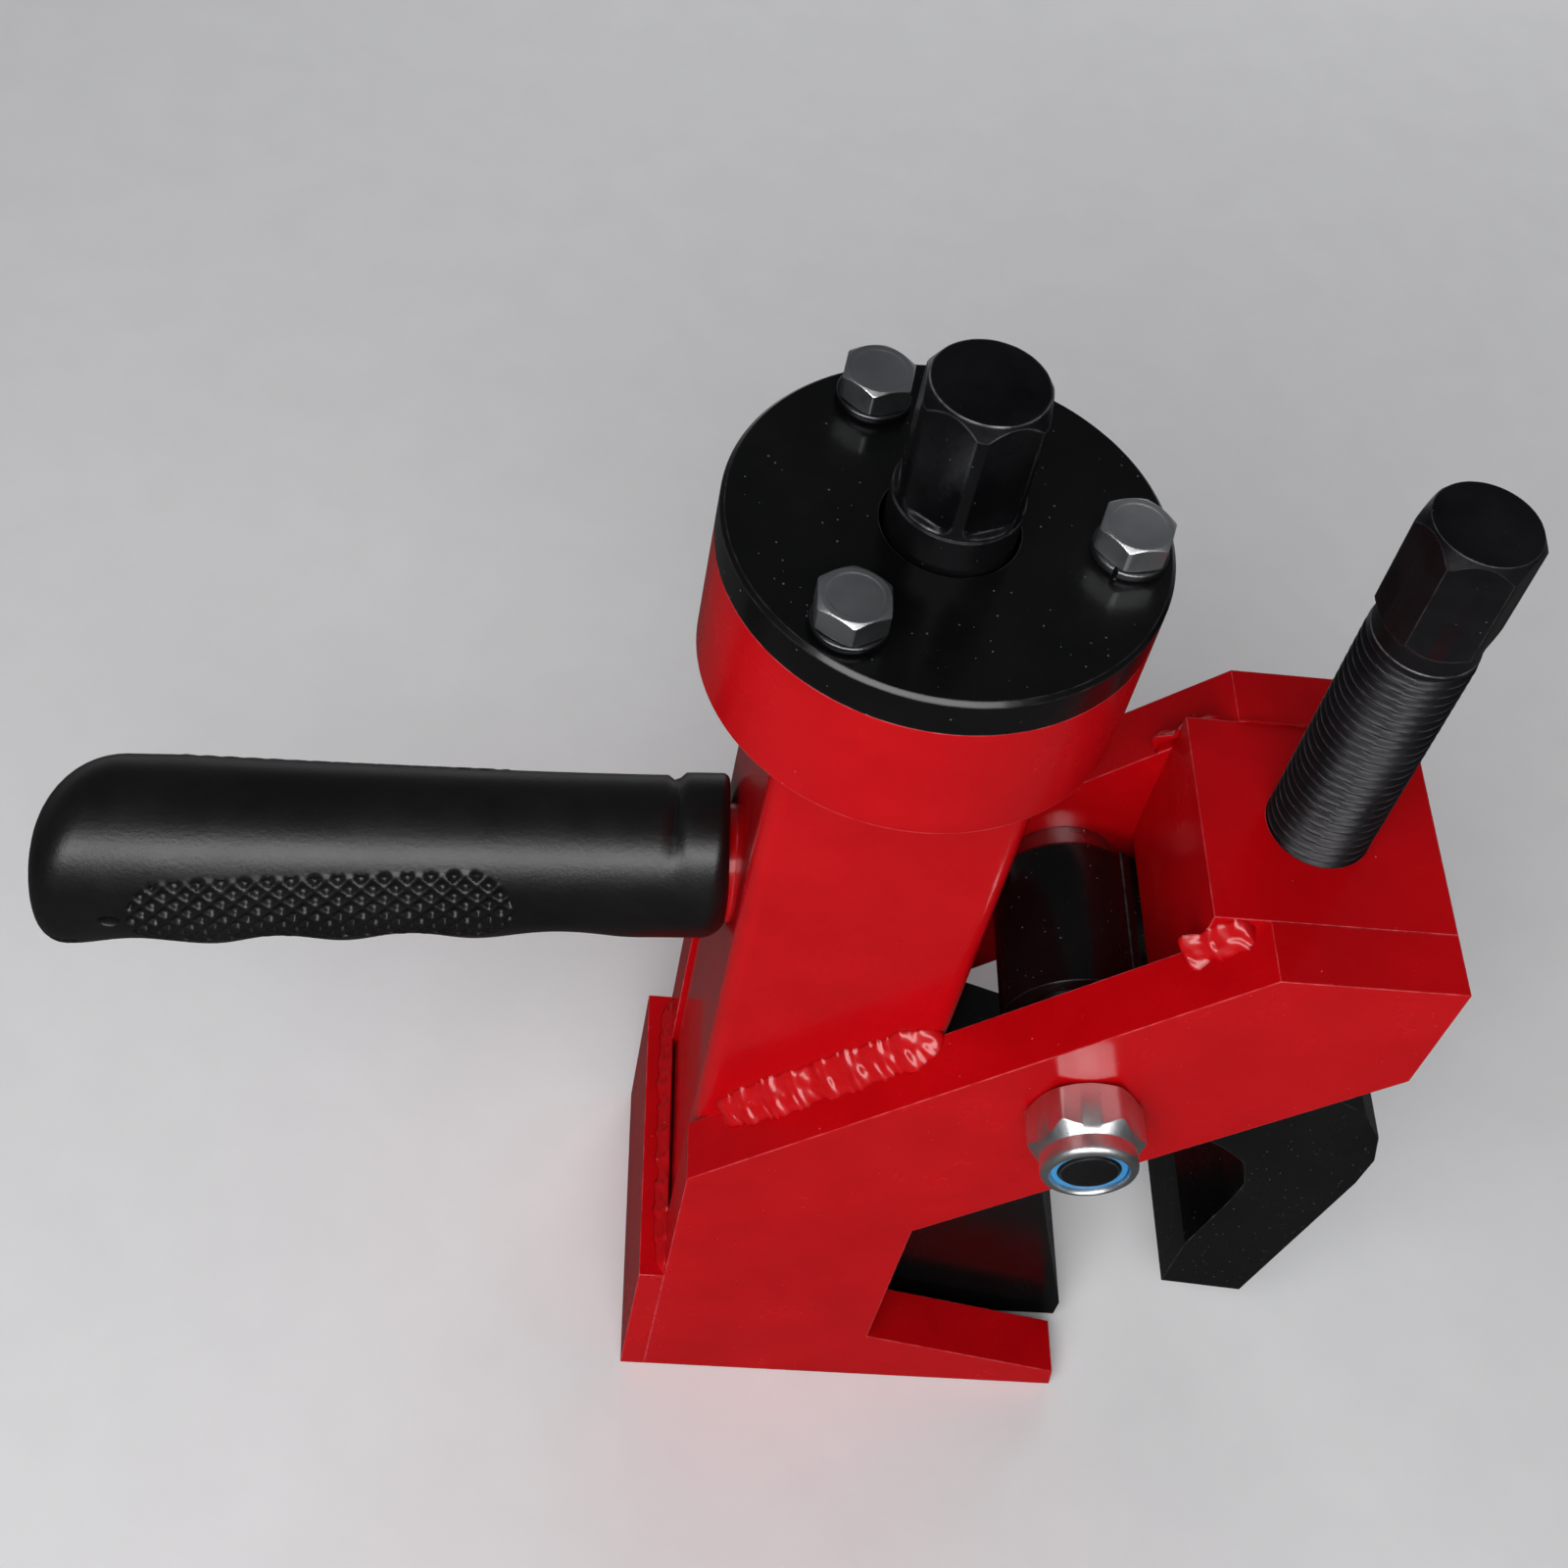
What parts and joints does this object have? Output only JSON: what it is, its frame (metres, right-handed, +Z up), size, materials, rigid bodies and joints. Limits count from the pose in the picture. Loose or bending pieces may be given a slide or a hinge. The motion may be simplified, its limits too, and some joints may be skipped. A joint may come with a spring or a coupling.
{
  "type": "tyre bead breaker",
  "caption": "Screw-driven clamp-on tyre bead breaker: a wedge foot slides down a square column between two toes while a clamp screw swings a jaw lever; rubber side handle.",
  "frame": {"origin": "on the floor, on the column's axis, at the lower opening where the wedge foot comes out", "axes": "+Z up along the column, +X towards the toes and the clamp screw, +Y towards the head of the pivot bolt"},
  "size_m": [0.3052, 0.1028, 0.311],
  "materials": {
    "red_paint": "glossy enamel with orange peel",
    "black_paint": "satin black paint",
    "black_oxide": "oiled black oxide",
    "zinc": "bright zinc plating",
    "bare_steel": "machined steel",
    "bronze": "machined bronze",
    "rubber_grip": "satin black moulded rubber",
    "nylon": "blue nylon"
  },
  "bodies": {
    "frame": {"column_tube": "red_paint", "head_ring": "red_paint", "side_plate_left": "red_paint", "side_plate_right": "red_paint", "heel_plate": "red_paint", "clamp_block": "red_paint", "handle_tube": "red_paint", "cap_plate": "black_paint", "cap_bolts": "zinc", "cap_spring_washers": "zinc", "pivot_bolt": "black_oxide", "pivot_lock_nut": "zinc", "hub_washers": "bare_steel", "lock_nut_insert": "nylon", "thrust_washer": "bronze", "handle_grip": "rubber_grip"},
    "drive_screw": {"drive_screw": "black_oxide"},
    "ram": {"ram_tube": "bare_steel", "ram_nut": "bronze", "wedge_foot": "black_paint"},
    "clamp_feed": {"clamp_nose": "bare_steel"},
    "clamp_screw": {"clamp_screw": "black_oxide"},
    "jaw": {"lever_hub": "black_paint", "jaw_lever": "black_paint"}
  },
  "joints": [
    {"name": "drive_spin", "type": "hinge", "parent": "frame", "child": "drive_screw", "pos_m": [0, 0, 0.262], "axis": [0, 0, 1], "range_deg": [0, 5401]},
    {"name": "ram_slide", "type": "slide", "parent": "frame", "child": "ram", "axis": [0, 0, -1], "range_m": [0, 0.075]},
    {"name": "clamp_feed", "type": "slide", "parent": "frame", "child": "clamp_feed", "axis": [0, 0, -1], "range_m": [0, 0.0075]},
    {"name": "clamp_spin", "type": "hinge", "parent": "clamp_feed", "child": "clamp_screw", "pos_m": [0.092, 0, 0.2], "axis": [0, 0, -1], "range_deg": [0, 1081]},
    {"name": "jaw_swing", "type": "hinge", "parent": "frame", "child": "jaw", "pos_m": [0.053, 0, 0.148], "axis": [0, 1, 0], "range_deg": [0, 11.5]}
  ],
  "couplings": [
    {"joint": "drive_spin", "follows": "ram_slide", "rad_per_m": 1256.6},
    {"joint": "clamp_spin", "follows": "clamp_feed", "rad_per_m": 2513.3},
    {"joint": "jaw_swing", "follows": "clamp_feed", "rad_per_m": 26.31}
  ]
}
